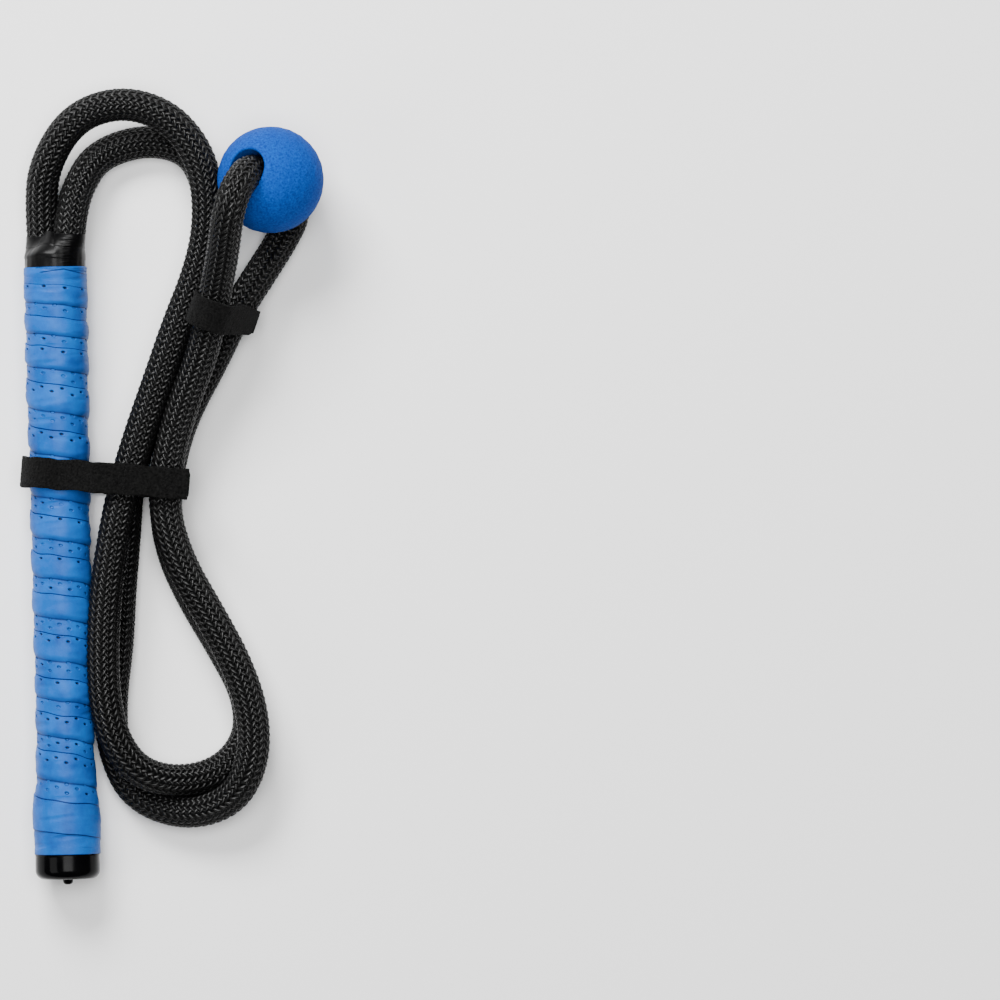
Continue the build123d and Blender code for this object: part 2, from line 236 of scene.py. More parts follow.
# ---- materials ----
class Shader:
    """A procedural material: a Principled shader, with nodes added by short calls."""

    def __init__(self, name, color, roughness, **sockets):
        self.material = bpy.data.materials.new(name)
        self.material.use_nodes = True
        self.material.diffuse_color = (*color, 1)
        self.nodes = self.material.node_tree.nodes
        self.links = self.material.node_tree.links
        self.principled = self.nodes["Principled BSDF"]
        values = {"Base Color": (*color, 1), "Roughness": roughness, **sockets}
        for socket, value in values.items():
            self.principled.inputs[socket.replace("_", " ")].default_value = value

    def node(self, kind, inputs=None, **settings):
        """A new node with its inputs linked, or set where they are plain values."""
        made = self.nodes.new("ShaderNode" + kind)
        for key, value in settings.items():
            setattr(made, key, value)
        for key, value in (inputs or {}).items():
            if isinstance(value, bpy.types.NodeSocket):
                self.links.new(value, made.inputs[key])
            else:
                made.inputs[key].default_value = value
        return made

    def where(self, scale=(1, 1, 1), uv=False):
        """Object or UV coordinates, scaled."""
        place = self.node("TexCoord").outputs["UV" if uv else "Object"]
        return self.node("Mapping", {"Vector": place, "Scale": scale}).outputs["Vector"]

    def noise(self, scale, detail=3.0, place=None, roughness=0.5):
        """Fractal noise, in object coordinates unless another place is given."""
        inputs = {"Scale": scale, "Detail": detail, "Roughness": roughness}
        inputs["Vector"] = place or self.where()
        return self.node("TexNoise", inputs).outputs["Fac"]

    def cells(self, scale):
        """Distance from the nearest of many scattered points."""
        inputs = {"Vector": self.where(), "Scale": scale}
        return self.node("TexVoronoi", inputs).outputs["Distance"]

    def remap(self, value, low, high, to_low, to_high):
        inputs = {"Value": value, "From Min": low, "From Max": high}
        inputs |= {"To Min": to_low, "To Max": to_high}
        return self.node("MapRange", inputs).outputs["Result"]

    def attribute(self, name):
        return self.node("Attribute", attribute_name=name).outputs["Fac"]

    def math(self, operation, a, b):
        return self.node("Math", {0: a, 1: b}, operation=operation).outputs["Value"]

    def mix(self, factor, a, b):
        """Blend of two colours, plain or from a socket, which are the node's inputs 6 and 7."""
        a, b = ((*color, 1) if isinstance(color, tuple) else color for color in (a, b))
        inputs = {"Factor": factor, 6: a, 7: b}
        return self.node("Mix", inputs, data_type="RGBA").outputs[2]

    def color(self, value):
        self.links.new(value, self.principled.inputs["Base Color"])

    def rough(self, value):
        self.links.new(value, self.principled.inputs["Roughness"])

    def bump(self, height, distance_mm, strength, under=None):
        """Bump on the shader's normal, on top of an earlier one if that is given."""
        inputs = {"Height": height, "Distance": distance_mm * MM, "Strength": strength}
        if under is not None:
            inputs["Normal"] = under
        normal = self.node("Bump", inputs).outputs["Normal"]
        self.links.new(normal, self.principled.inputs["Normal"])
        return normal


def rope_material():
    """Black filament yarn: fibres along each strand, a dull shine in its middle, matte edges."""
    shader = Shader("braided_rope", (0.003, 0.003, 0.003), 0.42, Specular_IOR_Level=0.22)
    along = shader.where((5.0, 0.35, 1.0), uv=True)
    fibres = shader.noise(2.2, 3.0, along, 0.6)
    tone = shader.noise(260.0, 2.0)
    shade = shader.math("MULTIPLY", shader.remap(fibres, 0.3, 0.75, 0.0, 1.0), tone)
    shader.color(shader.mix(shade, (0.0005, 0.0005, 0.0005), (0.0036, 0.0036, 0.0037)))
    across = shader.node("SeparateXYZ", {"Vector": shader.where(uv=True)}).outputs["X"]
    from_middle = shader.math("ABSOLUTE", shader.math("SUBTRACT", across, 0.5), 0.0)
    near_edge = shader.remap(from_middle, 0.12, 0.38, 0.0, 1.0)
    rough_middle = shader.remap(fibres, 0.3, 0.7, 0.38, 0.28)
    rough_edge = shader.math("MULTIPLY", near_edge, 0.75)
    shader.rough(shader.math("MAXIMUM", rough_middle, rough_edge))
    shader.bump(fibres, 0.10, 0.22)
    return shader.material


def core_material():
    """The dark yarn under the braid, which shows only between strands."""
    shader = Shader("rope_core", (0.006, 0.006, 0.006), 0.9)
    shade = shader.noise(900.0)
    shader.color(shader.mix(shade, (0.001, 0.001, 0.001), (0.003, 0.003, 0.003)))
    return shader.material


def wrap_material():
    """Blue grip tape: fine leather grain, with painted shade in the holes, in the crevices at the
    lapped edges, along the creases and along the cut end.
    """
    shader = Shader("grip_tape", (0.002, 0.080, 0.34), 0.46, Specular_IOR_Level=0.13)
    cloud = shader.remap(shader.noise(75.0, 6.0, roughness=0.6), 0.32, 0.66, 0.0, 1.0)
    body = shader.mix(cloud, (0.0006, 0.048, 0.235), (0.0036, 0.098, 0.395))
    # Painted shade from the edge value: the crevice at each lapped edge, the crease, the band above
    # it and the cut end's line.
    edge = shader.math("MULTIPLY", shader.attribute("edge"), 0.95)
    with_painted_shade = shader.mix(edge, body, (0.0003, 0.006, 0.050))
    # Painted shade at the bottom of the holes, on top of their real depth.
    hole = shader.attribute("hole")
    shader.color(shader.mix(hole, with_painted_shade, (0.0002, 0.002, 0.018)))
    grain = shader.noise(1500.0, 4.0, roughness=0.6)
    pebble = shader.cells(1100.0)
    shader.rough(shader.remap(grain, 0.3, 0.7, 0.54, 0.40))
    base = shader.bump(pebble, 0.06, 0.35)
    shader.bump(grain, 0.05, 0.5, under=base)
    return shader.material


def cap_material():
    """Glossy black dipped vinyl, slightly smeared and not quite even."""
    shader = Shader("dipped_vinyl", (0.001, 0.001, 0.0012), 0.14, Specular_IOR_Level=0.06)
    smear = shader.noise(120.0, 2.0)
    shader.rough(shader.remap(smear, 0.3, 0.7, 0.12, 0.24))
    shader.color(shader.mix(smear, (0.0006, 0.0006, 0.0008), (0.0016, 0.0016, 0.0018)))
    shader.bump(shader.noise(180.0, 2.0), 0.12, 0.25)
    return shader.material


def tape_material():
    """Black vinyl tape, smeared along the rope's direction, with a fine stretch texture."""
    shader = Shader("vinyl_tape", (0.002, 0.002, 0.0022), 0.30, Specular_IOR_Level=0.11)
    smear = shader.noise(160.0, 3.0, shader.where((1, 0.35, 1)))
    shader.rough(shader.remap(smear, 0.3, 0.7, 0.30, 0.44))
    shader.color(shader.mix(smear, (0.0006, 0.0006, 0.0007), (0.0018, 0.0018, 0.0020)))
    shader.bump(shader.noise(420.0, 3.0), 0.08, 0.4)
    return shader.material


def foam_material():
    """Closed-cell foam: matte, with fine cells that show as grain, and painted shade in the cells'
    pits.
    """
    shader = Shader("ball_foam", (0.0005, 0.052, 0.27), 0.80, Specular_IOR_Level=0.08)
    cells = shader.cells(1900.0)
    speckle = shader.remap(shader.noise(1250.0, 3.0), 0.33, 0.67, 0.0, 1.0)
    fine = shader.mix(speckle, (0.0001, 0.024, 0.175), (0.0005, 0.062, 0.345))
    # Painted shade in the cells' pits, where the bump dips.
    painted_pit_shade = shader.remap(cells, 0.0, 0.8, 0.22, 0.0)
    shader.color(shader.mix(painted_pit_shade, fine, (0.0001, 0.018, 0.13)))
    base = shader.bump(cells, 0.10, 0.35)
    shader.bump(speckle, 0.10, 0.6, under=base)
    return shader.material


def loop_material():
    """The soft side of hook-and-loop tape: brushed nylon loops."""
    shader = Shader(
        "loop_pile", (0.002, 0.002, 0.0022), 0.88,
        Specular_IOR_Level=0.05, Sheen_Weight=0.02, Sheen_Roughness=0.5,
    )
    pile = shader.remap(shader.noise(1100.0, 4.0, roughness=0.7), 0.36, 0.64, 0.0, 1.0)
    tufts = shader.cells(1300.0)
    shader.color(shader.mix(pile, (0.0003, 0.0003, 0.0003), (0.0058, 0.0058, 0.0056)))
    base = shader.bump(tufts, 0.30, 0.7)
    shader.bump(pile, 0.25, 0.9, under=base)
    return shader.material


def hook_material():
    """The rough side of hook-and-loop tape: a dark ground thick with stiff hooks."""
    shader = Shader("hook_side", (0.002, 0.002, 0.0022), 0.60, Specular_IOR_Level=0.10)
    dots = shader.cells(850.0)
    shader.color(shader.mix(dots, (0.0060, 0.0060, 0.0062), (0.0010, 0.0010, 0.0010)))
    shader.bump(dots, 0.5, 0.9)
    return shader.material


def hidden_material(name, dark, light, roughness, scale):
    """A mottled, slightly bumpy material for a part that the finished trainer hides."""
    shader = Shader(name, light, roughness)
    shader.color(shader.mix(shader.noise(scale), dark, light))
    shader.bump(shader.noise(scale * 4), 0.1, 0.4)
    return shader.material


def floor_material():
    """Plain pale studio floor, very slightly uneven in tone."""
    shader = Shader("pale_floor", (0.90, 0.90, 0.90), 0.75, Specular_IOR_Level=0.2)
    shader.color(shader.mix(shader.noise(3.0), (0.885, 0.885, 0.885), (0.91, 0.91, 0.91)))
    return shader.material


# ---- camera, lights and floor ----
# Metres, apart from the sensor's width. The view's width is measured at the middle height.
VIEW_MIDDLE = (0.1376, -0.0004)
VIEW_WIDTH = 0.4237
VIEW_TURN = math.radians(-1.2145)
CAMERA_DISTANCE = 5.0
MID_HEIGHT = 0.020
CAMERA_SEES_TO = 20.0
SENSOR_MM = 36.0
# Soft boxes, all aimed at one point: name, place, size and power in watts.
LIGHTS_AIM = (0.1, 0.0, 0.0)
LIGHTS = (
    ("key", (-0.45, 1.25, 1.20), (0.9, 0.7), 70.0),
    ("overhead", (0.10, 0.15, 2.20), (1.3, 1.3), 62.0),
    ("side", (-1.3, -0.4, 1.1), (0.8, 0.8), 7.0),
)
WORLD_STRENGTH = 0.07
FLOOR_REACH = 4.0
FLOOR_Z = -0.0001


def make_camera():
    """Looks straight down, beside the trainer, turned a little about the vertical."""
    data = bpy.data.cameras.new("camera")
    data.sensor_width = SENSOR_MM
    data.lens = SENSOR_MM * CAMERA_DISTANCE / VIEW_WIDTH
    data.clip_end = CAMERA_SEES_TO
    camera = add_object("camera", data)
    camera.location = (*VIEW_MIDDLE, CAMERA_DISTANCE + MID_HEIGHT)
    camera.rotation_euler = (0, 0, VIEW_TURN)
    bpy.context.scene.camera = camera


def add_light(name, location, size, power):
    data = bpy.data.lights.new(name, "AREA")
    data.shape = "RECTANGLE"
    data.size, data.size_y = size
    data.energy = power
    light = add_object(name, data)
    light.location = location
    direction = Vector(LIGHTS_AIM) - Vector(location)
    light.rotation_euler = direction.to_track_quat("-Z", "Y").to_euler()


def make_stage():
    """A wide pale floor just under the trainer, a dim white world and the lights."""
    corners = [(-1, -1), (1, -1), (1, 1), (-1, 1)]
    mesh = bpy.data.meshes.new("floor")
    floor_points = [(x * FLOOR_REACH, y * FLOOR_REACH, FLOOR_Z) for x, y in corners]
    mesh.from_pydata(floor_points, [], [(0, 1, 2, 3)])
    mesh.materials.append(floor_material())
    add_object("floor", mesh)
    world = bpy.data.worlds.new("studio")
    world.use_nodes = True
    background = world.node_tree.nodes["Background"]
    background.inputs["Color"].default_value = (1, 1, 1, 1)
    background.inputs["Strength"].default_value = WORLD_STRENGTH
    bpy.context.scene.world = world
    for light in LIGHTS:
        add_light(*light)


# ---- rope ----
def rope_line():
    """Points along the route's NURBS spline, in millimetres."""
    curve = bpy.data.curves.new("rope_line", "CURVE")
    curve.dimensions = "3D"
    curve.resolution_u = 24
    spline = curve.splines.new("NURBS")
    spline.points.add(len(ROUTE_MM) - 1)
    for point, at in zip(spline.points, ROUTE_MM):
        point.co = (*(Vector(at) * MM), 1)
    spline.order_u = 3
    spline.use_endpoint_u = True
    carrier = add_object("rope_line", curve)
    mesh = bpy.data.meshes.new_from_object(carrier)
    points = np.array([v.co for v in mesh.vertices], float) / MM
    bpy.data.objects.remove(carrier)
    bpy.data.curves.remove(curve)
    bpy.data.meshes.remove(mesh)
    return points


def even_points(points, step, spare=0.5):
    """The same line as points an even distance apart, and how far along each one is."""
    runs = np.linalg.norm(np.diff(points, axis=0), axis=1)
    along = np.concatenate([[0], np.cumsum(runs)])
    places = np.linspace(0, along[-1], int(along[-1] / step + spare) + 1)
    return np.stack([np.interp(places, along, column) for column in points.T], 1), places


def frames_along(points):
    """Two directions square to the line at each point, carried along it without twist."""
    tangents = unit(np.gradient(points, axis=0))
    side = unit(np.cross(tangents[0], (0.0, 0.0, 1.0)))
    sides = np.empty_like(points)
    for i, tangent in enumerate(tangents):
        side = side - tangent * (side @ tangent)
        side = side / np.linalg.norm(side)
        sides[i] = side
    return sides, np.cross(tangents, sides)


def strand_rings(points, sides, ups, places, start_angle, hand):
    """Rings of one strand's section as it winds round the rope, over two and under two."""
    angle = start_angle + hand * 2 * math.pi * places / BRAID_LEAD
    phase = FLOATS_PER_TURN * angle - FLOATS_START
    angle = angle + hand * STRAND_SWAY / FLOATS_PER_TURN * np.sin(phase)
    phase = FLOATS_PER_TURN * angle - FLOATS_START
    lift = np.tanh(WAVE_SQUARENESS * np.cos(phase)) / math.tanh(WAVE_SQUARENESS) * hand
    out = np.cos(angle)[:, None] * sides + np.sin(angle)[:, None] * ups
    middle = points + out * (BRAID_MID_R + STRAND_WAVE * lift)[:, None]
    across = unit(np.cross(unit(np.gradient(middle, axis=0)), out))
    half, tall = STRAND_WIDTH / 2, STRAND_HEIGHT / 2
    return np.stack([middle + across * (x * half) + out * (y * tall) for x, y in STRAND_SECTION], 1)


def strand_uvs(rings, places):
    """Across the strand from 0 to 1, and millimetres along the rope."""
    around = rings.shape[1]
    u = np.tile(np.arange(around) / (around - 1), len(places))
    v = np.repeat(places, around)
    ends = [(0.5, places[0]), (0.5, places[-1])]
    return np.concatenate([np.stack([u, v], 1), ends])


def make_rope():
    """The rope: a core, and round it the braid's strands, cut into a few pieces along it."""
    line = rope_line()
    points, places = even_points(line, STRAND_STEP)
    sides, ups = frames_along(points)
    turns = np.linspace(0, 2 * math.pi, CORE_SIDES, endpoint=False)[None, :, None]
    ring = np.cos(turns) * sides[:, None] + np.sin(turns) * ups[:, None]
    core = solid_from_rings((points[:, None] + ring * CORE_R)[::CORE_POINT_EVERY])
    rope = make_piece("rope_core", [core], core_material())
    material = rope_material()
    cuts = np.linspace(0, len(points) - 1, BRAID_PIECES + 1).astype(int)
    braids = []
    for number, (low, high) in enumerate(zip(cuts, cuts[1:]), 1):
        part = slice(low, high + 1)
        solids, uvs = [], []
        for carrier in range(CARRIERS_EACH_WAY):
            for hand in (1, -1):
                angle = 2 * math.pi * carrier / CARRIERS_EACH_WAY
                rings = strand_rings(points, sides, ups, places, angle, hand)[part]
                solids.append(solid_from_rings(rings))
                uvs.append(strand_uvs(rings, places[part]))
        name = f"rope_braid_{number}"
        braids.append(make_piece(name, solids, material, uvs=np.concatenate(uvs)))
    for piece in (rope, *braids):
        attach(piece, "grip")
    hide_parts("rope_leg_a", "rope_bight", "rope_leg_b")


# ---- rope tails ----
TAIL_START_R = CORE_R + 0.5
TAIL_R = 4.5
TAIL_SPREAD = 4.7
TAIL_NECK_LENGTH = 9.0
TAIL_NECK_RINGS = 14
TAIL_SIDES = 48


def make_tails():
    """The rope's two ends, squeezed from the collar down into the tube, where glue holds them."""
    material = hidden_material("tail_yarn", (0.006, 0.006, 0.006), (0.03, 0.03, 0.031), 0.7, 1400.0)
    tail_end_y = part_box("rope_tail_a")[0].y / MM
    turns = np.linspace(0, 2 * np.pi, TAIL_SIDES, endpoint=False)[None, :]
    for name, route_end, side in (("a", ROUTE_MM[0], -1), ("b", ROUTE_MM[-1], 1)):
        end_x, end_y, end_z = route_end
        neck = np.linspace(end_y, end_y - TAIL_NECK_LENGTH, TAIL_NECK_RINGS)
        y = np.append(neck, tail_end_y)[:, None]
        share = smoothstep(end_y, end_y - TAIL_NECK_LENGTH, y)
        radius = TAIL_START_R * (1 - share) + TAIL_R * share
        x = end_x * (1 - share) + (GRIP_X + side * TAIL_SPREAD) * share
        z = end_z * (1 - share) + GRIP_Z * share
        ring_x, ring_z = x + radius * np.cos(turns), z + radius * np.sin(turns)
        rings = np.stack([ring_x, y + 0 * turns, ring_z], -1)
        piece = make_piece(f"rope_tail_{name}_end", [solid_from_rings(rings)], material)
        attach(piece, "grip")
        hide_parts(f"rope_tail_{name}")


# ---- grip tape ----
# Outside radius of the finished grip, by its place along Y, as the CAD's wrap has it.
GRIP_PROFILE_Y = (-146.7, -125.0, -116.0, -98.0, -60.0, -20.0, 20.0, 55.0, 102.3)
GRIP_PROFILE_R = (14.4, 14.3, 12.9, 12.25, 12.35, 12.6, 12.8, 13.3, 13.35)
# Where each turn's upper edge crosses the top of the grip, from the rope end to the butt.
LAP_Y = (
    94.4, 80.7, 68.0, 52.3, 32.6, 14.9, -3.8, -20.4,
    -37.1, -54.0, -72.7, -87.8, -104.0, -124.4, -137.9,
)
TURNS_BEFORE = (125.0, 114.0, 101.6)
TURNS_AFTER = (-153.0, -169.0, -185.0)
# How unevenly the edge comes down within each turn, from 0 for a plain spiral.
LAP_SWAY = 0.40
# Rows of holes that show under each turn's upper edge, by their distance from it.
EDGE_ROWS = (
    (0.9,), (), (1.5,), (1.4, 3.2), (1.3, 3.1), (1.2,), (0.9,), (1.3,),
    (), (0.8, 2.5), (1.2,), (0.9, 2.4), (2.0, 3.7),
)
# Rows below the soft crease in the middle of a turn, and where each starts in hole spacings.
CREASE_ROWS = ((0.35, 0.0), (2.1, 0.5), (3.9, 0.0))
CREASE_ROW_ROOM = 2.4
# Where the crease runs, as a share of a turn's width: two layers lie above it, one below.
CREASE_AT = 0.60
HOLE_SPACING = 9.0
HOLE_HALF_LENGTH = 0.95
HOLE_HALF_HEIGHT = 0.56
HOLE_UNEVEN = 0.25
HOLE_DEPTH = 0.62
# Where a hole's side runs and where its lip lies, as shares of the hole's half size.
HOLE_SIDE = (0.62, 1.12)
LIP_AT, LIP_WIDTH, LIP_HEIGHT = 1.3, 0.32, 0.10
# No hole comes nearer than this to the tape's end under the collar.
HOLES_BELOW_END = 1.5
COLUMNS_PER_TURN = 280
INNER_ROWS = 4
LEAST_WIDTH = 0.3
GRIP_R = 13.0
# The turns at which the crease begins, the holes end and the tape's smooth last turn begins.
FIRST_CREASE_TURN = -0.6
LAST_HOLES_TURN = 12.66
BUTT_TURN = 12.66
# Each piece of tape runs from one of these turns to the next; all but the ends are underneath.
TAPE_CUTS = (-2.1, 2.5, 6.5, 10.5, 14.55)
# Shares of a turn's width, and rows of points in each: close together at edges and holes.
TAPE_ROWS = (
    (0.0, 0.03, 5), (0.03, 0.26, 17), (0.26, 0.56, 9),
    (0.56, 0.88, 25), (0.88, 0.955, 4), (0.955, 1.0, 7),
)
# Heights of the tape's face where two layers lie, one layer, on the smooth turn at the butt and
# on the tape's last turn, each with how much it crowns in the middle.
TWO_LAYERS, TWO_LAYERS_CROWN = 0.44, 0.16
ONE_LAYER, ONE_LAYER_CROWN = 0.04, 0.10
BUTT_LAYERS, BUTT_CROWN = 0.52, 0.12
LAST_LAYER, LAST_CROWN = 0.12, 0.06
# How far the zero of those heights, and the tape's inner face, lie under the CAD's radius.
TAPE_SUNK = 0.45
TAPE_INNER_SUNK = 0.88
# Shares of a turn's width between which its edge rounds over, two layers step down to one, the
# painted shade above the crease deepens, and the groove and the painted shade line at the next
# turn's edge begin.
EDGE_ROUNDS = (0.0, 0.14)
STEPS_DOWN = (CREASE_AT - 0.13, CREASE_AT + 0.01)
SHADE_DEEPENS = (CREASE_AT - 0.14, CREASE_AT - 0.01)
GROOVE_BEGINS = (0.972, 0.99)
EDGE_SHADE_PAINTED = (0.965, 0.985)
# Turns between which the crease begins, the smooth turn begins and the last turn begins.
CREASE_BEGINS = (FIRST_CREASE_TURN - 0.1, FIRST_CREASE_TURN + 0.1)
BUTT_BEGINS = (BUTT_TURN - 0.02, BUTT_TURN + 0.10)
LAST_BEGINS = (BUTT_TURN + 0.98, BUTT_TURN + 1.0)
EDGE_ROUNDING = 0.16
CREASE_WIDTH = 0.022
CREASE_DEPTH = 0.10
GROOVE_DEPTH = 0.16
WRINKLE_DEPTH = 0.16
SWELL = 0.07
EDGE_WANDER = 0.2
# The tape's cut end, a raised flap on top of the grip just below the collar. Two straight lines
# meet there, each with its height at the middle and its slope to the right. It fades out left
# and right between the given distances from the middle.
CUT_LINES = ((100.7, 0.128), (102.3, -0.27))
CUT_FADES_LEFT = (-6.2, -5.0)
CUT_FADES_RIGHT = (12.9, 11.5)
CUT_WIDTH = 0.24
CUT_DEPTH = 0.12
FLAP_HEIGHT = 0.26
FLAP_EDGE = 0.12
# How strongly painted shade darkens the tape along the crease, above it and along the cut end.
CREASE_SHADE_PAINTED, SHADE_DARK, CUT_SHADE_PAINTED = 0.75, 0.22, 0.8


def on_grip(radius, angle, y):
    """A point beside the grip's axis. Angle 0 is straight up and a quarter turn is +X."""
    return np.stack([GRIP_X + radius * np.sin(angle), y, GRIP_Z + radius * np.cos(angle)], -1)


def lap_edge(turn):
    """Height along Y of a turn's upper edge, for any number of turns from the first one."""
    values = np.array([*TURNS_BEFORE, *LAP_Y, *TURNS_AFTER])
    place = np.clip(turn + len(TURNS_BEFORE), 1, len(values) - 2.001)
    k = place.astype(int)
    t = place - k
    t = t - LAP_SWAY * np.sin(2 * np.pi * t) / (2 * np.pi)
    a, b, c, d = (values[k + i] for i in (-1, 0, 1, 2))
    slope_b, slope_c = (c - a) / 2, (d - b) / 2
    between = b * (1 + 2 * t) * (1 - t) ** 2 + c * t**2 * (3 - 2 * t)
    return between + slope_b * t * (1 - t) ** 2 - slope_c * t**2 * (1 - t)


def hole_row(along, below, start):
    """One row of oval holes: how far inside a hole, and on its raised lower lip, each point is."""
    nearest = (np.round(along / HOLE_SPACING - start) + start) * HOLE_SPACING
    below = below - HOLE_UNEVEN * np.sin(nearest * 1.7)
    apart = np.hypot((along - nearest) / HOLE_HALF_LENGTH, below / HOLE_HALF_HEIGHT)
    inside = 1 - smoothstep(*HOLE_SIDE, apart)
    lip = hump(apart, LIP_AT, LIP_WIDTH) * smoothstep(0.0, 0.5, below)
    return np.stack([inside, lip])


def tape_holes(turn, f, along):
    """All holes and their raised lips, as shares from 0 to 1."""
    width = lap_edge(turn) - lap_edge(turn + 1)
    below_edge = f * width
    below_crease = (f - CREASE_AT) * width
    room = (1 - CREASE_AT) * width
    rows = []
    for below, start in CREASE_ROWS:
        shown = (room - below > CREASE_ROW_ROOM) & (turn > FIRST_CREASE_TURN) & (f > 0.5)
        rows.append((below_crease - below, start, shown))
    nearest_turn = np.clip(np.round(turn), 0, len(EDGE_ROWS) - 1).astype(int)
    for number, distances in enumerate(EDGE_ROWS):
        shown = (nearest_turn == number) & (turn > -0.5) & (f < 0.5)
        for below, start in zip(distances, (0.5, 0.0)):
            rows.append((below_edge - below, start, shown))
    holes = np.zeros((2, *along.shape))
    for below, start, shown in rows:
        row = hole_row(along, below, start)
        holes = np.maximum(holes, row * (shown & (turn < LAST_HOLES_TURN)))
    return holes


def wrinkles(along, y, f):
    """Slow swells, finer ones that are deeper where two layers lie, and short sharp creases."""
    slow = ripple(along, y, seed=1, shortest=14, longest=40)
    fine = ripple(along, y, seed=2, shortest=3.5, longest=9, stretch=2.2)
    fine = fine * (0.35 + 0.65 * (f < CREASE_AT))
    creases = ripple(along * 0.45, y * 1.6, seed=3, shortest=5, longest=14)
    creases = np.clip(creases, 1.0, 3) - 1.0
    return SWELL * slow + SWELL * fine - WRINKLE_DEPTH * creases


def cut_end(y, angle):
    """The line of the tape's cut end, which carries painted shade, and the flap above it, as shares
    from 0 to 1.
    """
    aside = GRIP_R * np.sin(angle)
    line = np.minimum(*(middle + slope * aside for middle, slope in CUT_LINES))
    near = smoothstep(*CUT_FADES_LEFT, aside) * smoothstep(*CUT_FADES_RIGHT, aside)
    near = near * (np.cos(angle) > 0)
    return hump(y, line, CUT_WIDTH) * near, smoothstep(-FLAP_EDGE, FLAP_EDGE, y - line) * near


def tape_surface(turn, f, y, angle):
    """Height of the tape's face over the CAD's radius, with how much it is a hole and how much
    painted shade darkens it.
    """
    along = angle * GRIP_R
    begun = smoothstep(*CREASE_BEGINS, turn)
    one_layer = smoothstep(*STEPS_DOWN, f) * begun
    crease = hump(f, CREASE_AT, CREASE_WIDTH) * begun
    butt = smoothstep(*BUTT_BEGINS, turn)
    last = smoothstep(*LAST_BEGINS, turn)
    height = TWO_LAYERS + EDGE_ROUNDING * smoothstep(*EDGE_ROUNDS, f)
    height = height + TWO_LAYERS_CROWN * crown(f / CREASE_AT) ** 1.5
    lower = ONE_LAYER + ONE_LAYER_CROWN * crown((f - CREASE_AT) / (1 - CREASE_AT))
    height = height * (1 - one_layer) + lower * one_layer - CREASE_DEPTH * crease
    height = height * (1 - butt) + (BUTT_LAYERS + BUTT_CROWN * crown(f)) * butt
    height = height * (1 - last) + (LAST_LAYER + LAST_CROWN * crown(f)) * last
    height = height - TAPE_SUNK - GROOVE_DEPTH * smoothstep(*GROOVE_BEGINS, f)
    cut, flap = cut_end(y, angle)
    hole, lip = tape_holes(turn, f, along) * (y < WRAP_END_Y - HOLES_BELOW_END)
    height = height + wrinkles(along, y, f) + FLAP_HEIGHT * flap - CUT_DEPTH * cut
    # Painted shade above the crease, along the crease, in the crevice at the next turn's edge and
    # along the cut end.
    shade = smoothstep(*SHADE_DEEPENS, f) * (f < CREASE_AT) * begun
    lines = (CREASE_SHADE_PAINTED * crease + SHADE_DARK * shade) * (1 - butt)
    edge = smoothstep(*EDGE_SHADE_PAINTED, f) + lines + CUT_SHADE_PAINTED * cut
    return height - HOLE_DEPTH * hole + LIP_HEIGHT * lip, hole, np.clip(edge, 0, 1)


def wandering_edge(turn):
    """A turn's upper edge along Y, not quite straight."""
    around = turn * 2 * np.pi * GRIP_R
    return lap_edge(turn) + EDGE_WANDER * ripple(around, 0 * turn, seed=4, shortest=9, longest=30)


def make_tape_piece(name, first, last, material):
    """The tape from one turn to another, as a ribbon that winds down the grip in a spiral."""
    steps = int(round((last - first) * COLUMNS_PER_TURN)) + 1
    turn = np.linspace(first, last, steps)[:, None]
    zones = [np.linspace(low, high, rows, endpoint=False) for low, high, rows in TAPE_ROWS]
    f = np.concatenate([*zones, [1.0]])[None, :]
    upper = np.minimum(wandering_edge(turn), WRAP_END_Y)
    lower = np.clip(wandering_edge(turn + 1), WRAP_BUTT_Y, upper - LEAST_WIDTH)
    y = upper * (1 - f) + lower * f
    angle = turn * 2 * np.pi + 0 * f
    height, hole, edge = tape_surface(turn + 0 * f, f + 0 * turn, y, angle)
    outer = on_grip(np.interp(y, GRIP_PROFILE_Y, GRIP_PROFILE_R) + height, angle, y)
    under = np.linspace(1, 0, INNER_ROWS)[None, :]
    y_under = upper * (1 - under) + lower * under
    inner_r = np.interp(y_under, GRIP_PROFILE_Y, GRIP_PROFILE_R) - TAPE_INNER_SUNK
    inner = on_grip(inner_r, turn * 2 * np.pi + 0 * under, y_under)
    rings = np.concatenate([outer, inner], 1)
    no_value = np.zeros((steps, INNER_ROWS))
    # Hole and edge values per point; the tape's material paints shade from both.
    values = {
        label: np.append(np.concatenate([value, no_value], 1), [0, 0])
        for label, value in (("hole", hole), ("edge", edge))
    }
    piece = make_piece(name, [solid_from_rings(rings)], material, values=values)
    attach(piece, "grip")
    return piece


def make_tape():
    """The whole winding, in a few pieces whose joins are on the grip's underside."""
    material = wrap_material()
    pieces = [
        make_tape_piece(f"grip_tape_{number}", first, last, material)
        for number, (first, last) in enumerate(zip(TAPE_CUTS, TAPE_CUTS[1:]), 1)
    ]
    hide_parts("grip_wrap")


# ---- butt cap ----
def lathe_on_grip(profile, around):
    """A closed solid of revolution about the grip's axis from (radius, y) points."""
    angles = np.linspace(0, 2 * np.pi, around, endpoint=False)
    radius, y = np.array(profile).T
    return on_grip(radius[:, None] + 0 * angles, angles + 0 * y[:, None], y[:, None] + 0 * angles)


def arc(centre, radius, start, end, count):
    """Points on an arc between two angles in degrees."""
    return [
        (centre[0] + radius * math.cos(a), centre[1] + radius * math.sin(a))
        for a in np.radians(np.linspace(start, end, count))
    ]


CAP_R = 13.7
CAP_ROUNDING = 3.8
NIB_R = 2.1
NIB_LENGTH = 2.3
SKIRT_R, SKIRT_INNER_R = 13.45, 12.05
SKIRT_LENGTH = 6
CAP_FLOOR = 4.0
NEARLY_AXIS = 0.02
CAP_SIDES = 96


